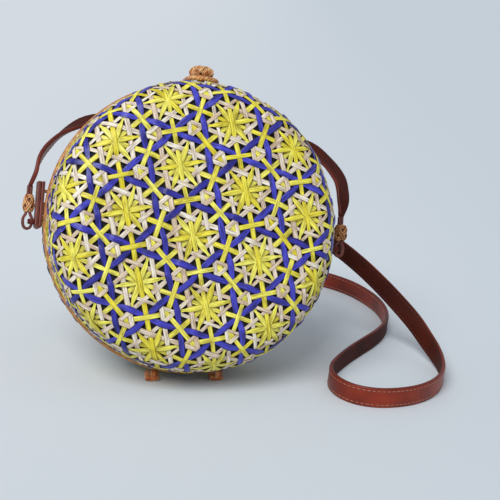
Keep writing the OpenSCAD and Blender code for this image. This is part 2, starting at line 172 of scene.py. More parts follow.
def join_parts(parts):
    """One mesh's points, faces and extra rows from a list of (points, faces, extras...)."""
    points, faces, *extras = zip(*parts)
    starts = np.cumsum([0] + [len(rows) for rows in points]).tolist()
    all_faces = [[v + start for v in face] for start, part in zip(starts, faces) for face in part]
    return (np.concatenate(points), all_faces, *map(np.concatenate, extras))


print("helpers ready")

# %% [markdown]
# Every finish starts the same way: a Principled shader whose colour, roughness and bump come from
# noise laid in the piece's own space. One helper makes the shader and the coordinates, and each
# material then adds what its real surface shows.

# %% Material helpers
def srgb(red, green, blue):
    """A colour given from 0 to 255, as the linear colour that a shader wants."""
    return tuple((v / 255 / 12.92 if v <= 10 else ((v / 255 + 0.055) / 1.055) ** 2.4)
                 for v in (red, green, blue)) + (1.0,)


class Finish:
    """A material with its Principled shader, and short calls that add and join nodes."""

    def __init__(self, name, roughness):
        self.material = bpy.data.materials.new(name)
        self.material.use_nodes = True
        self.tree = self.material.node_tree
        self.shader = self.tree.nodes["Principled BSDF"].inputs
        self.shader["Roughness"].default_value = roughness
        coordinates = self.add("TexCoord").outputs
        self.place, self.uv = coordinates["Object"], coordinates["UV"]

    def feed(self, socket, value):
        """Set a socket to a number or colour, or join it to another node's output."""
        if isinstance(value, bpy.types.NodeSocket):
            self.tree.links.new(value, socket)
        else:
            socket.default_value = value

    def add(self, kind, **inputs):
        node = self.tree.nodes.new("ShaderNode" + kind)
        for name, value in inputs.items():
            self.feed(node.inputs[name], value)
        return node

    def noise(self, vector, scale=1.0, detail=3, roughness=0.5, stretch=None):
        """Grey noise; stretch scales its coordinates differently along each axis."""
        if stretch:
            vector = self.add("Mapping", Vector=vector, Scale=stretch).outputs["Vector"]
        node = self.add("TexNoise", Vector=vector, Scale=scale, Detail=detail, Roughness=roughness)
        return node.outputs["Fac"]

    def math(self, operation, *values):
        node = self.add("Math")
        node.operation = operation
        for socket, value in zip(node.inputs, values):
            self.feed(socket, value)
        return node.outputs["Value"]

    def ramp(self, factor, *stops):
        """A colour ramp with two stops of (place, colour), where a number is a grey."""
        node = self.add("ValToRGB", Fac=factor)
        for element, (place, colour) in zip(node.color_ramp.elements, stops):
            element.position = place
            element.color = colour if isinstance(colour, tuple) else (colour, colour, colour, 1)
        return node.outputs["Color"]

    def mix(self, factor, first, second):
        node = self.add("Mix")
        node.data_type = "RGBA"
        for socket, value in zip((0, 6, 7), (factor, first, second)):
            self.feed(node.inputs[socket], value)
        return node.outputs[2]

    def finished(self, colour, height, distance, strength):
        """The material, once its colour and its bump reach the shader."""
        bump = self.add("Bump", Height=height, Distance=distance, Strength=strength)
        self.feed(self.shader["Normal"], bump.outputs["Normal"])
        self.feed(self.shader["Base Color"], colour)
        return self.material


print("finishes ready")

# %% [markdown]
# The strap is reddish-brown leather, and it is the one piece that shows its finish from close by:
# fine grain, a slow drift of colour, a slightly polished face, a duller underside whose darker
# colour is painted shade, and painted edges. Noise at two scales gives those, and each kind of face
# gets a material of its own.

# %% Leather
def leather(name, light, dark, roughness, shine=0.5):
    finish = Finish(name, roughness)
    finish.shader["Specular IOR Level"].default_value = shine
    drift = finish.noise(finish.place, scale=45)
    grain = finish.noise(finish.place, scale=1400, roughness=0.6)
    worn = finish.ramp(drift, (0.3, dark), (0.7, light))
    colour = finish.mix(finish.ramp(grain, (0.3, 0.6), (0.65, 1)), dark, worn)
    return finish.finished(colour, grain, 0.00012, 0.6)


STRAP_LEATHER = leather("strap_leather", srgb(156, 54, 28), srgb(100, 30, 15), 0.4, 0.3)
EDGE_LEATHER = leather("strap_edge_leather", srgb(126, 42, 24), srgb(78, 24, 14), 0.42, 0.35)
# The underside's darker colour is painted shade for the strap's faces that turn down and away.
UNDERSIDE_SHADE_LEATHER = leather("strap_underside_painted_shade_leather", srgb(82, 28, 16), srgb(58, 20, 12), 0.65, 0.12)
DARK_LEATHER = leather("tab_leather", srgb(108, 33, 20), srgb(60, 18, 11), 0.45, 0.2)
print("leather finishes ready")

# %% [markdown]
# The strap is a flat band about 14 mm wide and 1.26 m long. It rises from the left bead, passes
# behind the bag, comes out at the right and stands on its edge on the ground in a long loop, then
# runs back behind the bag and up to the right bead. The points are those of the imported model's own
# route. Each has the way that the band's width lies, so the band can turn without a kink. Curve
# objects cannot hold a chosen width direction at each point as simply, so the band is swept here.

# %% The strap's route
STRAP_W = 14
STRAP_T = 2.6
THONG_D = 4.4
STRAP_DOWN = [
    ((-105, 17, 129), (0, 3, -1)), ((-102, 25, 137), (1, 5, -1)), ((-95, 37, 144), (1, 4, -1)),
    ((-82, 52, 152), (1, 4, 0)), ((-63, 67, 158), (0, 4, 1)), ((-40, 76, 156), (0, 3, 3)),
    ((-12, 77, 145), (1, 1, 3)), ((20, 74, 130), (2, 1, 4)), ((52, 68, 114), (3, 0, 5)),
    ((82, 61, 99), (3, -1, 4)), ((108, 55, 86), (4, -2, 5)), ((131, 50, 74), (4, -3, 5)),
    ((150, 46, 61), (4, -3, 5)), ((166, 40, 48), (4, -3, 5)), ((180, 32, 35), (4, -2, 6)),
    ((190, 20, 24), (3, -1, 6)), ((195, 5, 15), (2, -1, 6)), ((196, -11, 10), (1, 0, 6)),
    ((193, -28, 8), (0, 0, 1))]
STRAP_ON_GROUND = [
    (186, -45), (175, -61), (160, -74), (142, -82), (122, -84), (107, -78), (99, -66), (98, -51),
    (103, -37), (114, -22), (130, -4), (147, 13), (163, 29), (177, 46), (188, 65), (195, 87),
    (198, 111), (196, 135), (190, 156), (179, 174), (162, 189), (140, 199)]
STRAP_UP = [
    ((115, 204, 8), (0, 0, 1)), ((90, 203, 12), (0, 1, 5)), ((68, 196, 21), (-1, 2, 4)),
    ((52, 183, 36), (-2, 3, 3)), ((43, 166, 56), (-3, 3, 2)), ((41, 147, 79), (-3, 2, 2)),
    ((45, 128, 102), (-2, 1, 2)), ((54, 110, 123), (-1, 0, 2)), ((68, 94, 138), (0, 0, 2)),
    ((86, 80, 147), (1, 2, 3)), ((103, 66, 147), (2, 3, 2)), ((114, 51, 140), (3, 4, 1)),
    ((119, 37, 132), (3, 4, 1)), ((119, 25, 124), (3, 3, 0)), ((117, 16, 116), (2, 1, 0))]
STRAP_ROUTE = STRAP_DOWN + [((x, y, STRAP_W / 2), (0, 0, 1)) for x, y in STRAP_ON_GROUND] + STRAP_UP
BEAD_H = 11
BEAD_TRAVEL = 5
THONG_TOP = BEAD_H / 2 + BEAD_TRAVEL + STRAP_T / 2
STRAP_STEPS = 5


def unit(vectors):
    return vectors / np.linalg.norm(vectors, axis=-1, keepdims=True)


def run_along(path):
    """How far each point of a path lies along it."""
    return np.concatenate([[0], np.cumsum(np.linalg.norm(np.diff(path, axis=0), axis=1))])


def smooth_route(points, steps):
    """A Catmull-Rom curve through the points, with so many steps for each stretch."""
    padded = np.concatenate([[2 * points[0] - points[1]], points, [2 * points[-1] - points[-2]]])
    curve = []
    for before, start, end, after in zip(padded, padded[1:], padded[2:], padded[3:]):
        for t in np.arange(steps) / steps:
            curve.append(0.5 * (2 * start + (end - before) * t
                                + (2 * before - 5 * start + 4 * end - after) * t ** 2
                                + (3 * start - before - 3 * end + after) * t ** 3))
    return np.array(curve + [points[-1]])


def strap_end(side_name):
    """Where the strap meets its thong, in mm, measured from the middle of the bead."""
    return np.mean(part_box("strap_bead_" + side_name), axis=0) / MM + slide_axis * THONG_TOP


laid, across = (np.array(rows, float) for rows in zip(*STRAP_ROUTE))
laid[:, 0] += BAG_MIDDLE[0] / MM
strap_path = smooth_route(np.array([strap_end("left"), *laid, strap_end("right")]), STRAP_STEPS)
strap_along = unit(np.gradient(strap_path, axis=0))
strap_across = smooth_route(unit(np.array([(0, 3, -1), *across, (1, 1, 0)], float)), STRAP_STEPS)
strap_across = unit(strap_across - (strap_across * strap_along).sum(1, keepdims=True) * strap_along)
strap_out = np.cross(strap_across, strap_along)
strap_run = run_along(strap_path)
print(f"the strap is {strap_run[-1]:.0f} mm long")

# %% [markdown]
# A leather strap has flat faces and rounded edges that are rubbed dark. A flat section with a small
# radius at each corner is swept along the route. The faces of its two edges and of its underside get
# materials of their own. The band narrows to the round thong at both ends.

# %% The strap's band
def rounded_section(width, thickness, radius):
    """A flat section with rounded corners, in mm, as (across, out) points."""
    return np.array([(side * (width / 2 - radius) + radius * np.cos(a),
                      face * (thickness / 2 - radius) + radius * np.sin(a))
                     for quarter, (side, face) in enumerate(((1, 1), (-1, 1), (-1, -1), (1, -1)))
                     for a in np.radians(90 * quarter + np.linspace(0, 90, 4))])


def swept(path, across, out, section, widths=1):
    """Rings of the section along a path, each as wide as its share in widths."""
    return (path[:, None] + across[:, None] * (section[None, :, :1] * np.reshape(widths, (-1, 1, 1)))
            + out[:, None] * section[None, :, 1:]).reshape(-1, 3)


def middles_of_sides(section):
    return (section + np.roll(section, -1, 0)) / 2


def edge_rows(section, rings):
    """1 for the faces round the two narrow edges of a swept section, and 0 for its flat faces."""
    at_edge = np.abs(middles_of_sides(section)[:, 0]) > np.abs(section[:, 0]).max() * 0.93
    return np.concatenate([np.tile(at_edge, rings - 1), [1, 1]])


rings = len(strap_path)
strap_section = rounded_section(STRAP_W, STRAP_T, 0.9)
end_distance = np.minimum(np.arange(rings), np.arange(rings)[::-1]) / STRAP_STEPS
widths = np.interp(end_distance, [0, 1, 2], [THONG_D, (THONG_D + STRAP_W) / 2, STRAP_W]) / STRAP_W
strap_points = on_ground(swept(strap_path, strap_across, strap_out, strap_section, widths))
# The underside faces wear the leather with painted shade.
below = middles_of_sides(strap_section)[:, 1] < -0.45 * STRAP_T
strap_rows = np.where([*np.tile(below, rings - 1), False, False], 2, edge_rows(strap_section, rings))
strap = make_piece("shoulder_strap_leather", strap_points * MM, ring_faces(rings, len(strap_section)),
                   STRAP_LEATHER, "back", "shoulder_strap", "leather",
                   edges=(EDGE_LEATHER, UNDERSIDE_SHADE_LEATHER, strap_rows))
print("strap:", len(strap_points), "points")

# %% [markdown]
# Two rows of tan thread run just inside the strap's edges. Each stitch is a short rounded bar half
# sunk in the leather. One is modelled, and numpy places copies of it at even steps along the band.

# %% The strap's stitches
def thread(name, light, dark):
    finish = Finish(name, 0.6)
    ply = finish.noise(finish.place, scale=2200, detail=2)
    return finish.finished(finish.ramp(ply, (0.35, dark), (0.65, light)), ply, 0.0001, 0.6)


TOP_THREAD = thread("tan_thread", srgb(194, 138, 116), srgb(112, 56, 40))
UNDER_THREAD = thread("dark_thread", srgb(88, 36, 26), srgb(50, 20, 14))
STITCH_PITCH = 3.4
STITCH_L = 2.5
STITCH_R = 0.3
STITCH_INSET = 2.1
UNSTITCHED_END = 24


def rounded_bar(length, radius, sides=6):
    """A bar along its first axis with blunt rounded ends: its points and faces."""
    along = np.array([-1, -0.86, -0.4, 0.4, 0.86, 1]) * length / 2
    girth = np.array([0.35, 0.85, 1, 1, 0.85, 0.35]) * radius
    turn = np.arange(sides) / sides * 2 * np.pi
    bar = np.stack([np.repeat(along, sides), np.outer(girth, np.cos(turn)).ravel(),
                    np.outer(girth, np.sin(turn)).ravel()], 1)
    return bar, ring_faces(len(along), sides)


def along_strap(rows):
    """Rows that belong to the strap's path, read off at each stitch."""
    return np.stack([np.interp(stitch_run, strap_run, column) for column in rows.T], 1)


stitch_run = np.arange(UNSTITCHED_END, strap_run[-1] - UNSTITCHED_END, STITCH_PITCH)
stitch_axes = [along_strap(rows) for rows in (strap_along, strap_across, strap_out)]
bar_points, bar_faces = rounded_bar(STITCH_L, STITCH_R)
bars = sum(bar_points[None, :, k, None] * stitch_axes[k][:, None] for k in range(3))
for face, face_name, colour in ((1, "top", TOP_THREAD), (-1, "underside", UNDER_THREAD)):
    parts = []
    for side in (-1, 1):
        middles = (along_strap(strap_path) + side * (STRAP_W / 2 - STITCH_INSET) * stitch_axes[1]
                   + face * STRAP_T / 2 * stitch_axes[2])
        parts += [(bar, bar_faces) for bar in middles[:, None] + bars]
    points, faces = join_parts(parts)
    make_piece(f"strap_{face_name}_stitches", points * MM, faces, colour, "back",
                               slot="leather")
print("stitches:", 4 * len(stitch_run))

# %% [markdown]
# Each half is covered by one star weave. Flat, it is a pattern of straight strips: rows of stars
# 47.4 mm apart in three directions. Yellow strips run along the rows and halfway between their
# directions, so six cross at each star. Blue strips run midway between the rows, and bow out
# round the small rings of cream. A cream strip runs at each side of every row. A grid of copies
# could not bend over the rounded edge, so the strips are drawn flat and then mapped on to the half.

# %% From the flat pattern to the half
WALL_R = 98.5
CORNER_R = 20
HALF_DEPTH = 40
FACE_SLOPE = np.radians(1.5)
WALL_SLOPE = np.radians(4)
HOOP_EDGE = 3.35
TUCKED_IN = 0.6
WEAVE_BASE = 1.25
STRETCH = -0.046

dome_share = np.tan(FACE_SLOPE / 2)
corner_share = dome_share * np.sin(FACE_SLOPE) + np.cos(FACE_SLOPE) - np.sin(WALL_SLOPE)
wall_share = np.tan(WALL_SLOPE)
EDGE_R = ((WALL_R - CORNER_R * np.cos(WALL_SLOPE) - wall_share * (HALF_DEPTH - CORNER_R * corner_share))
          / (1 - dome_share * wall_share))
DOME_EDGE = EDGE_R + CORNER_R * np.sin(FACE_SLOPE)
EDGE_Y = HALF_DEPTH - DOME_EDGE * dome_share - CORNER_R * np.cos(FACE_SLOPE)
DOME_R = DOME_EDGE / np.sin(FACE_SLOPE)
DOME_RUN = DOME_R * FACE_SLOPE
CORNER_END = DOME_RUN + CORNER_R * (np.pi / 2 - WALL_SLOPE - FACE_SLOPE)
WALL_END = CORNER_END + (EDGE_Y + CORNER_R * np.sin(WALL_SLOPE)) / np.cos(WALL_SLOPE)


def profile(run):
    """The half's outside at a run from its middle: radius, depth, and the way that it faces."""
    on_dome = run < DOME_RUN
    angle = np.where(on_dome, run / DOME_R, FACE_SLOPE + (run - DOME_RUN) / CORNER_R)
    angle = np.minimum(angle, np.pi / 2 - WALL_SLOPE)
    wall = np.maximum(run - CORNER_END, 0)
    radius = np.where(on_dome, DOME_R * np.sin(angle), EDGE_R + CORNER_R * np.sin(angle))
    depth = np.where(on_dome, HALF_DEPTH - DOME_R + DOME_R * np.cos(angle),
                     EDGE_Y + CORNER_R * np.cos(angle))
    return (radius + wall * np.sin(WALL_SLOPE), depth - wall * np.cos(WALL_SLOPE),
            np.sin(angle), np.cos(angle))


def run_on_half(reach):
    """A reach on the flat pattern as a run on the half. The weave draws in towards the edge."""
    return reach * (1 + STRETCH * (reach / 100) ** 2)


def on_half(flat, height, face):
    """Flat points, in mm, with a height over the lining, as points of the frame. The back half
    faces backwards, 1, and the lid forwards, -1."""
    reach = np.maximum(np.hypot(*flat.T), 1e-6)
    radius, depth, face_out, face_deep = profile(run_on_half(reach))
    radius = radius + (height - WEAVE_BASE) * face_out
    depth = depth + (height - WEAVE_BASE) * face_deep
    side, up = flat.T / reach * radius
    return standing(np.stack([side, face * depth, -face * up], 1))


FLAT_REACH = next(r for r in np.arange(120, 150, 0.1)
                  if profile(run_on_half(r))[1] < HOOP_EDGE - TUCKED_IN)
print(f"a strip reaches {FLAT_REACH:.1f} mm from the middle of the flat pattern")

# %% [markdown]
# A maker cuts every strip by hand, so no two are quite alike. Each strand here has its own width, a
# little waviness and its own shade, all from one seeded generator, so a rerun gives the same bag.

# %% The strands of one half
ROW, CROSS, CREAM, BLUE = range(4)
STAR_PLACE = np.array([-7.6, -8.2])
STAR_PITCH = 47.4
ROW_PITCH = STAR_PITCH * 3 ** 0.5 / 2
CREAM_SHIFT = 0.225 * STAR_PITCH
BOW = -0.017 * STAR_PITCH
WAVINESS = 0.18
RIM_MARGIN = 3
ALONG_ROWS = (0, 60, 120)
# kind, turns, pitch, shift, width, and how much the width varies
FAMILIES = ((ROW, ALONG_ROWS, ROW_PITCH, 0, 3.3, 0.35),
            (CROSS, (-30, 30, 90), STAR_PITCH / 2, 0, 3.2, 0.4),
            (CREAM, ALONG_ROWS, ROW_PITCH, CREAM_SHIFT, 3.0, 0.85),
            (CREAM, ALONG_ROWS, ROW_PITCH, -CREAM_SHIFT, 3.0, 0.85),
            (BLUE, ALONG_ROWS, ROW_PITCH, ROW_PITCH / 2, 3.8, 0.25))


def ways_of(angle):
    """The way that a strand runs and the way across it, on the flat pattern."""
    return np.array([(np.cos(angle), np.sin(angle)), (-np.sin(angle), np.cos(angle))])


def strands_of_half(row_turn, chance):
    """Every strand of a half, as arrays: kind, turn, offset, width, waviness and shade."""
    rows = []
    for kind, turns, pitch, shift, width, spread in FAMILIES:
        for turn in turns:
            angle = np.radians(row_turn + turn)
            for j in range(-7, 8):
                offset = j * pitch + shift
                if abs(STAR_PLACE @ ways_of(angle)[1] + offset) < FLAT_REACH - RIM_MARGIN:
                    rows.append((kind, turn, angle, offset, j, width + chance.uniform(-1, 1) * spread,
                                 chance.uniform(0, 2 * np.pi), chance.uniform(28, 60), chance.uniform(0, 1)))
    names = "kind turn angle offset index width wave_start wave_length shade".split()
    return {name: np.array(column) for name, column in zip(names, zip(*rows))}


def sideways(strands, which, t):
    """How far strands stand from their straight lines at a run t: their bow and their waviness."""
    bow = np.where(strands["kind"][which] == BLUE,
                   BOW * np.cos(2 * np.pi * (t / STAR_PITCH - strands["index"][which] / 2)), 0)
    wave = np.sin(2 * np.pi * t / strands["wave_length"][which] + strands["wave_start"][which])
    return bow + WAVINESS * wave


print("families of strands:", sum(len(family[1]) for family in FAMILIES))

# %% [markdown]
# What makes it a weave is which strip passes over which. All crossings are found at once, because
# two straight strips meet where two simple equations agree. The order at each follows the photograph:
# the six yellow strips pile up at a star in a fixed order, cream lies over the yellow rows but under
# the yellow that leaves a star across it, and blue lies over cream and under yellow where they meet
# between two stars. Strips of one colour follow each other round, so each locks the next.

# %% Crossings and their order
STAR_RANK = {(ROW, 0): 0, (ROW, 120): 1, (CROSS, -30): 2, (CROSS, 30): 3, (CROSS, 90): 4, (ROW, 60): 5}
AT_STAR = 0.1 * STAR_PITCH
IN_RING = 0.4 * STAR_PITCH
CROSSING_MARGIN = 0.5


def crossings_of(strands):
    """Pairs of strands, with the run of each at their crossing and the place."""
    first, second = np.triu_indices(len(strands["kind"]), 1)
    apart = (strands["turn"][first] - strands["turn"][second]) % 180 != 0
    first, second = first[apart], second[apart]
    (cos_1, sin_1), (cos_2, sin_2) = (ways_of(strands["angle"][s])[0] for s in (first, second))
    run_1, run_2 = np.zeros(len(first)), np.zeros(len(first))
    for _ in range(6):
        off_1 = strands["offset"][first] + sideways(strands, first, run_1)
        off_2 = strands["offset"][second] + sideways(strands, second, run_2)
        x, y = np.array([off_1 * cos_2 - off_2 * cos_1,
                         off_1 * sin_2 - off_2 * sin_1]) / (cos_1 * sin_2 - sin_1 * cos_2)
        run_1, run_2 = x * cos_1 + y * sin_1, x * cos_2 + y * sin_2
    place = np.stack([x, y], 1)
    inside = np.hypot(*(place + STAR_PLACE).T) < FLAT_REACH - CROSSING_MARGIN
    return [rows[inside] for rows in (first, second, run_1, run_2, place)]


def star_distance(place, row_turn):
    """How far each place, measured from a star, is from the nearest star."""
    a = np.radians(row_turn + np.array([0, 60]))
    basis = STAR_PITCH * np.stack([np.cos(a), np.sin(a)])
    base = np.floor(place @ np.linalg.inv(basis).T)
    return np.min([np.linalg.norm(place - (base + corner) @ basis.T, axis=1)
                   for corner in ((0, 0), (1, 0), (0, 1), (1, 1))], axis=0)


def is_over(first, second, near_star):
    """Whether the first of two strands, each a (kind, turn) in the order of the kinds, is on top."""
    (kind_1, turn_1), (kind_2, turn_2) = first, second
    square_cross = kind_1 == CROSS and (turn_1 - turn_2) % 180 == 90
    if kind_1 == kind_2 and kind_1 in (CREAM, BLUE):
        return (turn_2 - turn_1) % 180 == 60
    if kind_2 <= CROSS:
        piled = kind_1 == kind_2 or near_star < AT_STAR
        return STAR_RANK[first] > STAR_RANK[second] if piled else kind_1 == CROSS
    if kind_2 == CREAM:
        return square_cross and near_star < IN_RING
    return kind_1 != CREAM and not square_cross


print("order rules ready")

# %% [markdown]
# A strip has to climb over each strip below it, and it is too stiff to fold, so it rises and falls in
# long curves. Heights are found by relaxing: every strand is smoothed and pulled down on to the
# lining again and again, and each crossing then pushes its two strands apart by one thickness. Cloth
# simulation would need far more points for the same result.

# %% Strand heights
STRIP_T = 0.3
STRIP_STEP = 1.2
RELAX_ROUNDS = 300
SETTLE_ROUNDS = 60
SMOOTHING = 0.25
SINKING = 0.004
LIFTED, LOWERED = 0.6, 0.3
CROSSING_SHARES = (-1, -0.5, 0, 0.5, 1)


def sampled(strands):
    """The runs at which each strand is sampled, from one edge of the pattern to the other."""
    runs = []
    for angle, offset in zip(strands["angle"], strands["offset"]):
        way, side = ways_of(angle)
        half_run = np.sqrt(max(FLAT_REACH ** 2 - (STAR_PLACE @ side + offset) ** 2, 1))
        count = max(int(2 * half_run / STRIP_STEP), 6)
        runs.append(np.linspace(-half_run, half_run, count) - STAR_PLACE @ way)
    return runs


def relaxed_heights(strands, row_turn):
    """The runs of every strand's samples, and the heights there once the weave has settled."""
    first, second, run_1, run_2, place = crossings_of(strands)
    names = list(zip(strands["kind"].tolist(), strands["turn"].tolist()))
    near_star = star_distance(place, row_turn)
    over = np.array([is_over(names[i], names[j], near) for i, j, near in zip(first, second, near_star)])
    upper, lower = np.where(over, (first, second), (second, first))
    run_up, run_low = np.where(over, (run_1, run_2), (run_2, run_1))
    between = strands["angle"][lower] - strands["angle"][upper]
    sine, cosine = np.abs(np.sin(between)), np.cos(between)
    runs = sampled(strands)
    lows, steps, counts = np.array([(run[0], run[1] - run[0], len(run)) for run in runs]).T
    ends = np.cumsum([len(run) for run in runs])
    starts = np.append(0, ends[:-1])

    def cells(which, run):
        """The samples before these runs in one long array of all strands, and the shares between."""
        place_in = np.clip((run - lows[which]) / steps[which], 0, counts[which] - 1.001)
        cell = place_in.astype(int)
        return starts[which] + cell, place_in - cell

    ups, downs = [], []
    for a in CROSSING_SHARES:
        for b in CROSSING_SHARES:
            step_up = a * strands["width"][lower] / 2 / sine
            step_low = b * strands["width"][upper] / 2 / sine
            ups.append(cells(upper, run_up + step_up + step_low * cosine))
            downs.append(cells(lower, run_low + step_low + step_up * cosine))
    up_cell, up_share = (np.concatenate(rows) for rows in zip(*ups))
    low_cell, low_share = (np.concatenate(rows) for rows in zip(*downs))
    height = np.zeros(ends[-1])
    left, right = np.arange(ends[-1]) - 1, np.arange(ends[-1]) + 1
    left[starts], right[ends - 1] = starts, ends - 1

    def at(height, cell, share):
        return height[cell] * (1 - share) + height[cell + 1] * share

    def gaps(height):
        return at(height, low_cell, low_share) + STRIP_T - at(height, up_cell, up_share)

    def spread(push, cell, share):
        moved = np.zeros(len(height))
        np.maximum.at(moved, cell, push)
        np.maximum.at(moved, cell + 1, push * (share > 0.1))
        return moved

    for _ in range(RELAX_ROUNDS):
        for _ in range(2):
            height = height + SMOOTHING * (height[left] - 2 * height + height[right])
        height = np.maximum(height - SINKING, 0)
        push = np.maximum(gaps(height), 0)
        height = height + spread(push * LIFTED, up_cell, up_share)
        height = np.maximum(height - spread(push * LOWERED, low_cell, low_share), 0)
    for _ in range(SETTLE_ROUNDS):
        height = height + spread(np.maximum(gaps(height), 0), up_cell, up_share)
    print(len(first), "crossings,", f"highest strip {height.max():.2f} mm,",
          f"worst overlap {gaps(height).max():.3f} mm")
    return runs, np.split(height, starts[1:])


print("solver ready")

# %% [markdown]
# A split palm strip is flat, with crisp edges and a faint crown. Eight points make that section, and
# each of them is mapped on to the half by itself, so a strip wraps the rounded edge smoothly. The blue
# strips are cut leaf-shaped: widest beside a star and narrow where they dive under the yellow. So are
# the yellow ones that cross a star, which makes its petals. The UV map holds millimetres along and
# across the strip, which lets the grain run lengthwise. The bag leans on a few strips of its back half,
# and the ground presses those flat.

# %% Ribbons
STRIP_ACROSS = np.array([-0.5, 0.5, 0.5, 0.43, 0.15, -0.15, -0.43, -0.5])
STRIP_AIR = 0.02
STRIP_RISE = np.array([0, 0, 0.72, 0.94, 1, 1, 0.94, 0.72]) * (STRIP_T - STRIP_AIR)
SWELL = 0.05
SWELL_RUN = 9
GRAIN_SHIFT = 300
LEAF_SHAPE = 0.14
CROSS_STARS = 3 ** 0.5 * STAR_PITCH
PETAL_FROM_STAR = (0, 3, 7, 11, 14.5, 17, 21)
PETAL_WIDTH = (0.9, 1, 1.28, 1.16, 0.5, 0.8, 1)


def ribbon(strands, k, run, height, face):
    """Strip k of a half: points, faces, UV rows and shades."""
    kind, index, shade = (strands[name][k] for name in ("kind", "index", "shade"))
    way, side = ways_of(strands["angle"][k])
    off = strands["offset"][k] + sideways(strands, k, run)
    width = strands["width"][k] * (1 + SWELL * np.sin(run / SWELL_RUN + strands["wave_start"][k]))
    if kind == BLUE:
        width = width * (1 + LEAF_SHAPE * np.cos(4 * np.pi * run / STAR_PITCH))
    if kind == CROSS:
        stars = run / CROSS_STARS - index / 2
        from_star = np.abs(stars - np.round(stars)) * CROSS_STARS
        width = width * np.interp(from_star, PETAL_FROM_STAR, PETAL_WIDTH)
    across = width[:, None] * STRIP_ACROSS
    flat = (STAR_PLACE + run[:, None] * way + off[:, None] * side)[:, None] + across[..., None] * side
    points = on_ground(on_half(flat.reshape(-1, 2), (height[:, None] + STRIP_RISE).ravel(), face))
    uv = np.stack([np.repeat(run + GRAIN_SHIFT * shade, len(STRIP_ACROSS)), across.ravel()], 1)
    return points, ring_faces(len(run), len(STRIP_ACROSS)), uv, np.full(len(points), shade)


print("ribbons ready")

# %% [markdown]
# Dyed palm keeps its grain: fine lines along the strip, streaks where the dye took unevenly, and a
# satin sheen. Its darker edges are painted shade, where a strip meets the strips round it. The noise
# is stretched along the strip through the UV map, so the streaks turn with each strip. Every strip's
# own shade value moves its colour between two neighbouring tones.

# %% Strip finishes
def palm_strip(name, deep, middle, pale, roughness, half_width):
    finish = Finish(name, roughness)
    shade = finish.add("Attribute")
    shade.attribute_name = "shade"
    across = finish.math("ABSOLUTE", finish.add("SeparateXYZ", Vector=finish.uv).outputs["Y"])
    streaks = finish.noise(finish.uv, roughness=0.6, stretch=(0.045, 0.85, 1))
    grain = finish.noise(finish.uv, roughness=0.65, stretch=(0.07, 1.7, 1))
    blotches = finish.noise(finish.uv, detail=2, stretch=(0.11, 0.35, 1))
    edge = finish.math("DIVIDE", across, half_width)
    tone = finish.mix(shade.outputs["Fac"], middle, pale)
    tone = finish.mix(finish.ramp(blotches, (0.42, 0), (0.72, 0.7)), tone, deep)
    tone = finish.mix(finish.ramp(streaks, (0.5, 0), (0.72, 0.85)), tone, pale)
    tone = finish.mix(finish.ramp(grain, (0.37, 0.9), (0.49, 0)), tone, deep)
    # Painted shade: each strip darkens towards its edges, where it meets the strips round it.
    tone = finish.mix(finish.ramp(edge, (0.74, 0), (1, 0.7)), tone, deep)
    return finish.finished(tone, grain, 0.0002, 0.9)


YELLOW_STRIP = palm_strip("yellow_strip", srgb(140, 117, 7), srgb(240, 223, 36), srgb(255, 251, 118),
                          0.38, 1.7)
CREAM_STRIP = palm_strip("cream_strip", srgb(142, 108, 80), srgb(220, 194, 162), srgb(254, 250, 234),
                         0.44, 1.6)
BLUE_STRIP = palm_strip("blue_strip", srgb(8, 7, 50), srgb(32, 28, 132), srgb(76, 74, 208), 0.3, 1.95)
print("strip finishes ready")

# %% [markdown]
# One mesh for each colour of each half is enough, because the strips of one colour never move apart.
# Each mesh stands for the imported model's net of that colour. The turn of the lid's rows and the place
# of its stars are those of the photographed bag.

# %% Weave both halves
# name, the way that it faces, the turn of its rows in degrees, and its seed
HALVES = (("lid", -1, 41.3, 11), ("back", 1, 19.0, 12))
COLOURS = (("yellow", (ROW, CROSS), YELLOW_STRIP), ("cream", (CREAM,), CREAM_STRIP),
           ("blue", (BLUE,), BLUE_STRIP))
for half, face, row_turn, seed in HALVES:
    strands = strands_of_half(row_turn, np.random.default_rng(seed))
    runs, heights = relaxed_heights(strands, row_turn)
    for colour, kinds, finish in COLOURS:
        chosen = [k for k in range(len(runs)) if strands["kind"][k] in kinds]
        ribbons = [ribbon(strands, k, runs[k], heights[k], face) for k in chosen]
        points, faces, uv, shade = join_parts(ribbons)
        make_piece(f"{half}_{colour}_weave", points, faces, finish, half, f"{half}_{colour}_strips",
                   f"{colour}_strip", uv, shade)
    print(half, "is woven from", len(runs), "strips")

# %% [markdown]
# Under the weave is black cloth glued over board. It shows through the gaps, and it is the whole
# inside of the bag once the lid opens. A shell with the half's own outline is turned round the axis.
# Fine threads in the bump make it cloth.

# %% Linings
def cloth(name, dark, light):
    finish = Finish(name, 0.85)
    finish.shader["Sheen Weight"].default_value = 0.15
    threads = finish.noise(finish.place, scale=1700, detail=2)
    drift = finish.noise(finish.place, scale=60, detail=2)
    tone = finish.mix(finish.ramp(threads, (0.35, 0), (0.7, 0.8)), finish.mix(drift, dark, light), light)
    return finish.finished(tone, threads, 0.0002, 0.8)


BLACK_CLOTH = cloth("black_cloth", srgb(12, 12, 15), srgb(26, 26, 30))
LINING_T = 1.8
LINING_IN = 1.2
LINING_STEPS = 128
MOUTH_GAP = 0.15


def lathe(outline, around=32):
    """A solid turned round Z from an outline of (radius, z): points, faces and UV rows, in mm."""
    turn = np.arange(around) / around * 2 * np.pi
    radius, z = outline.T
    points = np.stack([np.outer(radius, np.cos(turn)).ravel(), np.outer(radius, np.sin(turn)).ravel(),
                       np.repeat(z, around)], 1)
    uv = np.stack([np.tile(turn * 8, len(outline)), np.repeat(z, around)], 1)
    return points, ring_faces(len(outline), around), uv


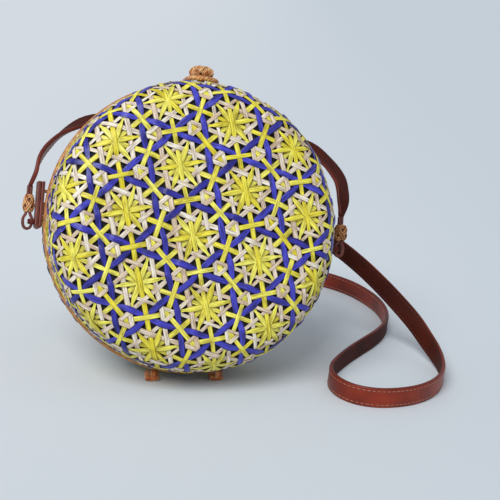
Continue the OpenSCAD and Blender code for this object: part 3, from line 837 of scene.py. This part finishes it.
run = np.concatenate([np.linspace(0.5, DOME_RUN, 8), np.linspace(DOME_RUN, CORNER_END, 14)[1:],
                      np.linspace(CORNER_END, WALL_END, 6)[1:]])
radius, depth, face_out, face_deep = profile(run)
outer, inner = (np.stack([radius - inset * face_out, np.maximum(depth - inset * face_deep, MOUTH_GAP)], 1)
                for inset in (LINING_IN, LINING_IN + LINING_T))
for half, face, *_ in HALVES:
    points, faces, uv = lathe(np.concatenate([outer, inner[::-1]]) * [1, face], LINING_STEPS)
    make_piece(f"{half}_cloth_lining", standing(points[:, [0, 2, 1]]), turned_faces(faces, face),
               BLACK_CLOTH, half, f"{half}_lining", "black_cloth")
print("both linings turned")

# %% [markdown]
# The knob, the beads, the loop, the hoops and the knots are all rattan: smoked orange brown, glossy on
# the skin side, with dark lines where the fibres part. All of it is made from strands of cane, so one
# helper sweeps a strand's oval section along a path, and its UV map runs the grain lengthwise. The
# bead at the right stands in the bag's shade, and that shade is painted into its darker cane colour.

# %% Rattan and a strand of cane
def rattan(name, deep, middle, pale, roughness):
    finish = Finish(name, roughness)
    fibres = finish.noise(finish.uv, roughness=0.6, stretch=(0.2, 3.2, 1))
    patches = finish.noise(finish.place, scale=260, detail=2)
    tone = finish.mix(finish.ramp(patches, (0.35, 0), (0.68, 1)), middle, pale)
    tone = finish.mix(finish.ramp(fibres, (0.36, 0.9), (0.52, 0)), tone, deep)
    return finish.finished(tone, fibres, 0.00012, 0.8)


KNOB_RATTAN = rattan("knob_rattan", srgb(66, 26, 8), srgb(194, 110, 50), srgb(252, 202, 138), 0.34)
# The right bead's darker colour is painted shade.
PAINTED_SHADE_RATTAN = rattan("bead_painted_shade_rattan", srgb(48, 20, 8), srgb(156, 92, 42), srgb(206, 146, 88), 0.4)
HOOP_RATTAN = rattan("hoop_rattan", srgb(112, 58, 22), srgb(176, 112, 52), srgb(206, 150, 84), 0.45)
KNOT_RATTAN = rattan("knot_rattan", srgb(92, 36, 13), srgb(208, 112, 54), srgb(244, 180, 118), 0.4)
# The cores' near-black tone is painted shade, seen through the gaps between the canes.
CORE_SHADE_CANE = rattan("core_painted_shade_cane", srgb(40, 18, 8), srgb(74, 36, 18), srgb(92, 48, 24), 0.6)
OVAL = np.array([(np.cos(a), np.sin(a)) for a in np.arange(8) / 8 * 2 * np.pi]) / 2
UP = np.array([0.0, 0, 1])


def round_way(path):
    """The way that a closed path runs at each of its points."""
    return unit(np.roll(path, -1, 0) - np.roll(path, 1, 0))


def cane(path, outward, width, thickness, closed=False):
    """A strand along a path: points, faces and UV rows, in mm."""
    along = round_way(path) if closed else unit(np.gradient(path, axis=0))
    out = unit(outward - (outward * along).sum(1, keepdims=True) * along)
    points = swept(path, np.cross(out, along), out, OVAL * (width, thickness))
    girth = np.arange(len(OVAL)) / len(OVAL) * width * 2
    uv = np.stack([np.repeat(run_along(path), len(OVAL)), np.tile(girth, len(path))], 1)
    return points, ring_faces(len(path), len(OVAL), closed), uv


def arc(middle, radius, start, end, step=15):
    """Points on a circle round a middle, from one angle to another, in degrees."""
    angle = np.radians(np.arange(start, end + 1, step))
    return middle + radius * np.stack([np.cos(angle), np.sin(angle)], 1)


def evenly(path, step, closed=False):
    """The same path with its points an even step apart."""
    whole = np.concatenate([path, path[:1]]) if closed else path
    run = run_along(whole)
    places = np.linspace(0, run[-1], max(int(run[-1] / step), 8), endpoint=not closed)
    return np.stack([np.interp(places, run, column) for column in whole.T], 1)


def level(flat, height):
    """A flat path at one height."""
    return np.column_stack([flat, np.full(len(flat), height)])


def put_on(name, mesh, material, body, node=None, slot="rattan", side=1, place=(0, 0, 0), edges=None):
    """A piece in the fittings' axes, from points, faces and perhaps UV rows, in mm. It is drawn for
    the right side of the bag, and mirrored when side is -1."""
    points, faces, *uv = mesh
    points = standing(fitted((points + place) * np.array([side, 1, 1])))
    make_piece(name, points, turned_faces(faces, side), material, body, node, slot, *uv, edges=edges)


print("rattan ready")

# %% [markdown]
# The knob and the beads are Turk's heads: one strand that runs round and round, up and down, over and
# under itself, until it meets its own end. On a ball, the strand's place is simple to write: it turns
# a few times round the axis while its latitude swings like a cosine. It passes a crossing at evenly
# counted places, and goes over at every other one. Running several strands side by side fills it.

# %% A Turk's head
STRAND_SPACING = 1.14


def over_and_under(s, leads, bights):
    """+1 where the strand passes over and -1 where it passes under, smooth in between."""
    count = np.arange(-leads, 2 * leads * bights + leads + 1)
    count = count[count % leads != 0]
    side = np.where((count - count // leads) % 2 == 0, 1.0, -1.0)
    return np.sin(np.interp(s, np.pi * count / (leads * bights), side) * np.pi / 2)


def turks_head(surface, leads, bights, strands, width, thickness, steps=420):
    """Strands woven over a surface, as one mesh. surface(turn, latitude) gives points and the ways
    that they face."""
    s = np.arange(steps) / steps * 2 * np.pi
    path, facing = surface(leads * s, np.cos(bights * s))
    across = unit(np.cross(facing, round_way(path)))
    lift = over_and_under(s, leads, bights)[:, None] * thickness * 0.5
    shifts = (np.arange(strands) - (strands - 1) / 2) * width * STRAND_SPACING
    return join_parts([cane(path + facing * lift + across * shift, facing, width, thickness, closed=True)
                       for shift in shifts])


def on_ball(radius, half_height, top_latitude):
    def surface(turn, latitude):
        up = top_latitude * latitude
        girth = radius * np.cos(up)
        path = np.stack([girth * np.cos(turn), girth * np.sin(turn), half_height * np.sin(up)], 1)
        return path, unit(path / np.array([radius, radius, half_height]) ** 2)
    return surface


KNOB_D = 17.2
KNOB_H = 10
NECK_D = 5
LOOP_T = 2.4
LOOP_CLEAR = 0.5
TURN_GAP = 0.3
HOOP_W = 3.2
KNOB_Y = -(2 * MOUTH_GAP + HOOP_W) / 2
LOOP_R = RIM_R + TURN_GAP + LOOP_T / 2
KNOB_MID = LOOP_R + LOOP_T / 2 + TURN_GAP + KNOB_H / 2
CANE_T = 1.2
CORE_INSET = 1.5
ON_AXIS = 0.01

knob_place = (0, KNOB_Y, KNOB_MID)
knob_ball = on_ball(KNOB_D / 2 - CANE_T, KNOB_H / 2 - CANE_T, np.radians(70))
knob_weave = turks_head(knob_ball, leads=3, bights=5, strands=4, width=1.2, thickness=CANE_T)
put_on("woven_knob", knob_weave, KNOB_RATTAN, "lid", "clasp_knob", place=knob_place)
core_size = np.array([KNOB_D, KNOB_H]) / 2 - CORE_INSET
neck_foot = RIM_R + 0.1 - KNOB_MID
core_outline = np.array([(0, neck_foot), (NECK_D / 2, neck_foot), (NECK_D / 2, 2 - KNOB_H / 2),
                         *arc((0, 0), core_size, -50, 90, 10)])
core_outline[[0, -1], 0] = ON_AXIS
put_on("knob_core", lathe(core_outline), CORE_SHADE_CANE, "lid", place=knob_place)
print("knob woven")

# %% [markdown]
# The closing loop is a twisted cord of three thin canes. Each winds round the loop's middle line, a
# third of a turn from the next. A staple of split cane holds its bar on the back half.

# %% Closing loop and its staple
LOOP_W = KNOB_D + 2 * LOOP_CLEAR + LOOP_T
PIVOT_BACK = 8
LOOP_REACH = np.hypot(PIVOT_BACK - KNOB_Y, KNOB_MID - LOOP_R) + KNOB_D / 2 + LOOP_CLEAR + LOOP_T / 2
CORD_STEP = 0.4
CORD_TWIST = 7.5
PLY_T = 1.8
PLY_W = 1.12 * PLY_T
PLY_OUT = 0.52
LOOP_LIFT = 0.3
STAPLE_R = LOOP_T / 2 + 0.65
STAPLE_FOOT = RIM_R - 3.2
STAPLE_CANES = 5
STAPLE_PITCH = 1.55
STAPLE_W, STAPLE_T = 1.5, 1.0

bend = arc((LOOP_W / 2 - LOOP_T, PIVOT_BACK - LOOP_T), LOOP_T, 0, 90)
bow = arc((0, PIVOT_BACK - LOOP_REACH + LOOP_W / 2), LOOP_W / 2, 180, 360, 7.5)
line = level(evenly(np.concatenate([bend[::-1] * [-1, 1], bow, bend])[::-1], CORD_STEP, closed=True), 0)
twists = round(len(line) * CORD_STEP / CORD_TWIST)
sideward = np.cross(round_way(line), UP)
plies = []
for ply in range(3):
    angle = 2 * np.pi * (np.arange(len(line)) / len(line) * twists + ply / 3)[:, None]
    away = np.cos(angle) * sideward + np.sin(angle) * UP
    plies.append(cane(line + away * PLY_T * PLY_OUT, away, PLY_W, PLY_T, closed=True))
put_on("twisted_loop", join_parts(plies), KNOB_RATTAN, "loop", "clasp_loop",
       place=(0, 0, LOOP_R + LOOP_LIFT))

arch = arc((PIVOT_BACK, LOOP_R), STAPLE_R, 0, 180)
arch = evenly(np.array([(PIVOT_BACK + STAPLE_R, STAPLE_FOOT), *arch, (PIVOT_BACK - STAPLE_R, STAPLE_FOOT)]),
              0.6)
canes = []
for k in range(STAPLE_CANES):
    x = (k - STAPLE_CANES // 2) * STAPLE_PITCH
    path = np.column_stack([np.full(len(arch), x), arch])
    canes.append(cane(path, path - (x, PIVOT_BACK, LOOP_R - 2), STAPLE_W, STAPLE_T))
put_on("cane_staple", join_parts(canes), HOOP_RATTAN, "back", "loop_staple")
print("loop and staple ready")

# %% [markdown]
# A bent cane hoop finishes the mouth of each half. Its section is square inside and round outside.
# Sweeping it round a circle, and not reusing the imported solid, gives a UV map along which the grain
# can run. The map needs a seam, and a weld closes the mesh there.

# %% Hoops
HOOP_T = 2.6
HOOP_STEPS = 200
HOOP_MID = RIM_R - HOOP_W / 2

section = np.array([(RIM_R - HOOP_T, 0), (HOOP_MID, 0),
                    *arc((HOOP_MID, HOOP_W / 2), HOOP_W / 2, -75, 75, 25),
                    (HOOP_MID, HOOP_W), (RIM_R - HOOP_T, HOOP_W)])
outward, deep = np.tile(section, (HOOP_STEPS + 1, 1)).T
around = np.repeat(np.arange(HOOP_STEPS + 1) / HOOP_STEPS * 2 * np.pi, len(section))
uv = np.stack([around * RIM_R, deep * 1.6 + outward], 1)
faces = ring_faces(HOOP_STEPS + 1, len(section), caps=False)
for half, face, *_ in HALVES:
    points = np.stack([outward * np.cos(around), face * (deep + MOUTH_GAP), outward * np.sin(around)], 1)
    hoop = make_piece(f"{half}_cane_hoop", standing(points), turned_faces(faces, -face), HOOP_RATTAN, half,
                      f"{half}_hoop", uv=uv)
    hoop.modifiers.new("seam", "WELD").merge_threshold = 1e-6
print("hoops ready")

# %% [markdown]
# At each side a strip of leather is folded in two and sewn to the wall behind the hoop. The corners of
# its cut edges wear a painted highlight, so they draw light lines. A small keeper on its outer leg holds
# the ring of the thong. The thong is one narrow strip, folded at the ring, whose two ends run up side by
# side through the bead. The beads are woven by hand, and the right one came out wider than the left.

# %% Side fittings
TAB_L = 31.5
TAB_W = 12
TAB_T = 2.2
TAB_DROP = 0.8
FOLD_GAP = 0.4
BEAD_RISE = 7
BEAD_D = 8.2
RING_T = 2.6
RING_W = 6
RING_H = 12.5
TAB_IN = RIM_R + TURN_GAP
TAB_OUT = TAB_IN + 2 * TAB_T + FOLD_GAP
RING_IN = TAB_OUT + RING_T / 2 + TURN_GAP
THONG_OUT = RING_IN + RING_W / 2
RING_TOP = -BEAD_H / 2 - TURN_GAP
RING_LOW = RING_TOP - RING_H + RING_T / 2
TAB_MID_Y = 0.6 + TAB_W / 2
RIGHT_REACH = 3.6
KEEPER_W = 3.3
KEEPER_R = RING_T / 2 + TURN_GAP + RING_T / 4
THONG_W = 2.9
THONG_T = 1.85
THONG_APART = 0.95
TAB_STITCHES = (9.3, 8.3, 0.7, -0.3, -1.3)
STITCH_FROM, STITCH_TO = 1.9, 6.7
STITCH_OUT = 0.25
BEAD_SLIM = 0.76
CORE_D = 4.6
CUT_EDGE = leather("cut_leather_edge", srgb(112, 44, 34), srgb(70, 25, 20), 0.5)
# Painted highlight: the pale corners of the edges stand for light caught there.
EDGE_HIGHLIGHT = leather("edge_painted_highlight_leather", srgb(158, 88, 70), srgb(112, 54, 42), 0.45)


def tab_stitch(height):
    """A doubled thread, in one run: out of the wall, through the tab, along its face and back in."""
    out, wall = TAB_OUT + STITCH_OUT, WALL_R - 2.5
    corners = np.array([(wall, STITCH_FROM), (out - 0.4, STITCH_FROM), (out, STITCH_FROM + 0.5),
                        (out, STITCH_TO - 0.5), (out - 0.4, STITCH_TO), (wall, STITCH_TO)])
    return cane(level(evenly(corners, 0.5), height), UP, 0.85, 0.7)


def leather_strip(line, width, thickness, depth_way=(0, 1, 0)):
    """A flat strip along a line, its width along depth_way: points, faces, and a row per face: 0 on the
    flat, 1 on an edge and 2 on an edge's corner, which wears a painted highlight.
    """
    along = unit(np.gradient(line, axis=0))
    across = np.tile(np.array(depth_way, float), (len(line), 1))
    section = rounded_section(width, thickness, min(0.45, thickness * 0.3))
    points = swept(line, across, np.cross(along, across), section)
    faces = ring_faces(len(line), len(section))
    volume = sum(np.dot(points[f[0]], np.cross(points[f[1]], points[f[2]])) for f in faces if len(f) == 4)
    # The corners of the edges get the painted highlight.
    corner = (np.abs(middles_of_sides(section)) > np.abs(section).max(0) * (0.93, 0.6)).all(1)
    rows = edge_rows(section, len(line)) + np.concatenate([np.tile(corner, len(line) - 1), [0, 0]])
    return points, turned_faces(faces, volume), rows


def upright(flat):
    """A path of (outward, up) points at the middle of the tab's width."""
    return np.stack([flat[:, 0], np.full(len(flat), TAB_MID_Y), flat[:, 1]], 1)


def tab_line():
    """Down the inner leg, round the fold and up the outer leg."""
    inner, outer, top = TAB_IN + TAB_T / 2, TAB_OUT - TAB_T / 2, TAB_L / 2 - TAB_DROP
    fold_z = -TAB_L / 2 - TAB_DROP + TAB_T + FOLD_GAP / 2
    fold = arc(((inner + outer) / 2, fold_z), (outer - inner) / 2, 180, 360)
    return upright(evenly(np.array([(inner, top), *fold, (outer, top)]), 0.7))


def keeper_line(reach):
    """From the tab round the ring's strand and back."""
    bend = arc((RING_IN + reach, TAB_MID_Y), KEEPER_R, -90, 90)
    ends = [(TAB_OUT - 0.4, TAB_MID_Y + side * KEEPER_R) for side in (-1, 1)]
    return level(evenly(np.array([ends[0], *bend, ends[1]]), 0.5), RING_TOP - RING_H / 2)


def thong_line():
    """Down through the bead, round the ring and up again."""
    down = [(-THONG_APART, z) for z in (THONG_TOP, 6, 0, RING_TOP + 1.4)]
    down += [(-1.5, RING_TOP - 1.4), (0.2 - RING_W / 2, RING_TOP - 4), (-RING_W / 2, RING_TOP - RING_H / 2),
             (0.2 - RING_W / 2, RING_LOW + 3), (-1.9, RING_LOW + 0.9)]
    flat = np.array(down + [(0, RING_LOW)] + [(-x, z) for x, z in down[::-1]])
    return upright(smooth_route(flat, 6)) + [THONG_OUT, 0, 0]


def on_barrel(radius, half_height, end_share):
    def surface(turn, latitude):
        girth = radius * (1 - (1 - end_share) * latitude ** 2)
        path = np.stack([girth * np.cos(turn), girth * np.sin(turn), half_height * latitude], 1)
        lean_in = 2 * (1 - end_share) * radius / half_height * latitude
        return path, unit(np.stack([np.cos(turn), np.sin(turn), lean_in], 1))
    return surface


def barrel_core():
    """The inside of a bead, with a hole for the thong."""
    z = np.linspace(-1, 1, 9)
    top = BEAD_H / 2 - 0.35
    outer = np.stack([(BEAD_D / 2 - 0.75) * (1 - 0.26 * z ** 2), z * top], 1)
    points, faces, uv = lathe(np.array([*outer, (CORE_D / 2, top), (CORE_D / 2, -top), outer[0]]), 24)
    return points, faces[:-2], uv


bead_barrel = on_barrel(BEAD_D / 2 - 0.6, BEAD_H / 2 - 0.7, BEAD_SLIM)
# side, name, how far its ring is pulled out, the bead's girth and shift, and the bead's finish
SIDES = ((-1, "left", 0, 0.95, 0, KNOB_RATTAN), (1, "right", RIGHT_REACH, 1.18, 0.6, PAINTED_SHADE_RATTAN))
for side, side_name, reach, girth, aside, woven_of in SIDES:
    *tab, edge_kinds = join_parts([leather_strip(tab_line(), TAB_W, TAB_T),
                            leather_strip(keeper_line(reach), KEEPER_W, RING_T / 2, (0, 0, 1))])
    put_on(f"folded_tab_{side_name}", tab, DARK_LEATHER, "back", f"side_tab_{side_name}", "leather", side,
           (0, 0, BEAD_RISE), (CUT_EDGE, EDGE_HIGHLIGHT, edge_kinds))
    sewing = join_parts([tab_stitch(height) for height in TAB_STITCHES])
    put_on(f"tab_stitches_{side_name}", sewing[:2], TOP_THREAD, "back", None, "leather", side,
           (0, 0, BEAD_RISE))
    *thong, edge_kinds = leather_strip(thong_line(), THONG_W, THONG_T)
    put_on(f"folded_thong_{side_name}", thong, DARK_LEATHER, "back", f"strap_thong_{side_name}", "leather",
           side, (reach, 0, BEAD_RISE), (CUT_EDGE, EDGE_HIGHLIGHT, edge_kinds))
    bead = turks_head(bead_barrel, leads=3, bights=4, strands=2, width=1.25, thickness=0.8, steps=240)
    for name, node, mesh, finish in ((f"woven_bead_{side_name}", f"strap_bead_{side_name}", bead, woven_of),
                                     (f"bead_core_{side_name}", None, barrel_core(), CORE_SHADE_CANE)):
        points, faces, uv = mesh
        put_on(name, (points * (girth, girth, 1), faces, uv), finish, f"bead_{side_name}", node, side=side,
               place=(THONG_OUT + reach + aside, TAB_MID_Y, BEAD_RISE))
print("side fittings ready")

# %% [markdown]
# Two knots of cane hinge the halves at the bottom. Two turns of each knot are tied to the back half's
# hoop, and the one between them to the lid's, so the knot turns like a door hinge. The bag stands on
# them, and the ground has rubbed them flat.

# %% Hinge knots
TURN_R = 2.4
TURN_W = 2.8
RING_R = TURN_R - 0.4
RING_PITCH = 0.98
KNOT_HALF = 5.4
TIE_PITCH = 0.9
TIE_MID = 2.15
TIE_DEEP = 1.55
RING_SKEW, TIE_SKEW = 0.28, 0.3
PIN_D = 2.6
PIN_END = 1.4
PIN_DROP = RIM_R + TURN_GAP + TURN_R
HINGE_SPACING = 45
HINGE_X = -2.4
ROUND = np.radians(np.arange(0, 360, 15))


def winding(middle, skew, deep, high, width, thickness):
    """A closed ring of cane round a middle, so deep and so high, that wanders sideways by skew."""
    path = middle + np.stack([skew, deep * np.cos(ROUND), high * np.sin(ROUND)], 1)
    return cane(path, path - middle, width, thickness, closed=True)


def coil(knot_x, x, tie_side):
    """One turn of a knot: three rings of cane round the pin, and three ties round the hoop. The rings
    are smaller towards the knot's ends, so the whole knot is a rough ball."""
    parts = []
    for k in (-1, 0, 1):
        roundness = np.sqrt(1 - ((x + k * RING_PITCH) / KNOT_HALF) ** 2)
        ring_middle = (knot_x + x + k * RING_PITCH, 0, -PIN_DROP)
        tie_middle = (knot_x + x + k * TIE_PITCH, tie_side * TIE_MID, -RIM_R - 0.2)
        parts += [winding(ring_middle, RING_SKEW * np.cos(ROUND + k), RING_R * roundness,
                          RING_R * roundness, RING_PITCH, 0.95),
                  winding(tie_middle, TIE_SKEW * np.sin(ROUND), tie_side * TIE_DEEP,
                          1.2 + 1.3 * roundness, 0.95, 0.85)]
    return parts


step = TURN_W + TURN_GAP
for knot_name, x in (("left", HINGE_X - HINGE_SPACING / 2), ("right", HINGE_X + HINGE_SPACING / 2)):
    pin_ends = [(x + way * (step + PIN_END), 0, -PIN_DROP) for way in (-1, 1)]
    pin = cane(np.linspace(*pin_ends, 12), UP, PIN_D, PIN_D)
    for name, node, body, parts in (
            ("wound_knot_", "hinge_knot_", "back", [pin] + coil(x, -step, 1) + coil(x, step, 1)),
            ("lid_knot_turn_", "lid_hinge_turn_", "lid", coil(x, 0, -1))):
        points, faces, uv = join_parts(parts)
        make_piece(name + knot_name, on_ground(standing(points)), faces, KNOT_RATTAN, body, node + knot_name,
                   uv=uv)
print("hinge knots ready")

# %% [markdown]
# The bag stands on a plain pale floor that reaches far enough to fill the view. The paper's colour is
# painted darker towards the right of the camera's view, as painted light falling off from the left. One
# wide, soft light from the upper left front gives the gentle shadows, and an even sky fills them. A small
# lamp at the left brightens the upper left of the bag.

# %% Floor and light
FLOOR_REACH = 40
SUN_WAY = Vector((0.7, 0.7, -1.1))
LAMP_AIM = Vector((-0.07, -0.03, 0.18))

paper = Finish("floor_paper_painted_light", 0.9)
paper.shader["Specular IOR Level"].default_value = 0.1
# Painted light: the paper is lighter at the left and darker to the right of the view.
seen = paper.add("Mapping", Vector=paper.place, Rotation=(0, 0, -CAMERA_AZIMUTH), Location=(0.45, 0, 0))
rightwards = paper.add("SeparateXYZ", Vector=seen.outputs["Vector"]).outputs["X"]
paper.feed(paper.shader["Base Color"],
           paper.ramp(rightwards, (0.05, srgb(224, 228, 232)), (0.85, srgb(208, 216, 222))))
floor_mesh = bpy.data.meshes.new("floor")
floor_corners = [(x * FLOOR_REACH, y * FLOOR_REACH, 0) for x, y in ((-1, -1), (1, -1), (1, 1), (-1, 1))]
floor_mesh.from_pydata(floor_corners, [], [(0, 1, 2, 3)])
floor_mesh.materials.append(paper.material)
add_object("floor", floor_mesh)

sun = add_object("soft_key", bpy.data.lights.new("soft_key", "SUN"))
sun.data.energy = 1.95
sun.data.angle = np.radians(36)
sun.rotation_euler = SUN_WAY.to_track_quat("-Z", "Y").to_euler()
lamp = add_object("side_lamp", bpy.data.lights.new("side_lamp", "SPOT"))
lamp.data.energy = 14
lamp.data.spot_size = np.radians(16)
lamp.data.spot_blend = 1
lamp.data.shadow_soft_size = 0.15
lamp.location = (-0.5, -0.9, 0.75)
lamp.rotation_euler = (LAMP_AIM - lamp.location).to_track_quat("-Z", "Y").to_euler()
world = bpy.data.worlds.new("sky")
world.use_nodes = True
sky = world.node_tree.nodes["Background"].inputs
sky["Color"].default_value = srgb(232, 238, 246)
sky["Strength"].default_value = 0.53
bpy.context.scene.world = world
bpy.context.scene.view_settings.view_transform = "Standard"
print("lit")

# %% [markdown]
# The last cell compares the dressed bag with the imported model's box and hands the scene over.

# %% Sizes and finish
def corners(box):
    return [[float(v) for v in corner] for corner in box]
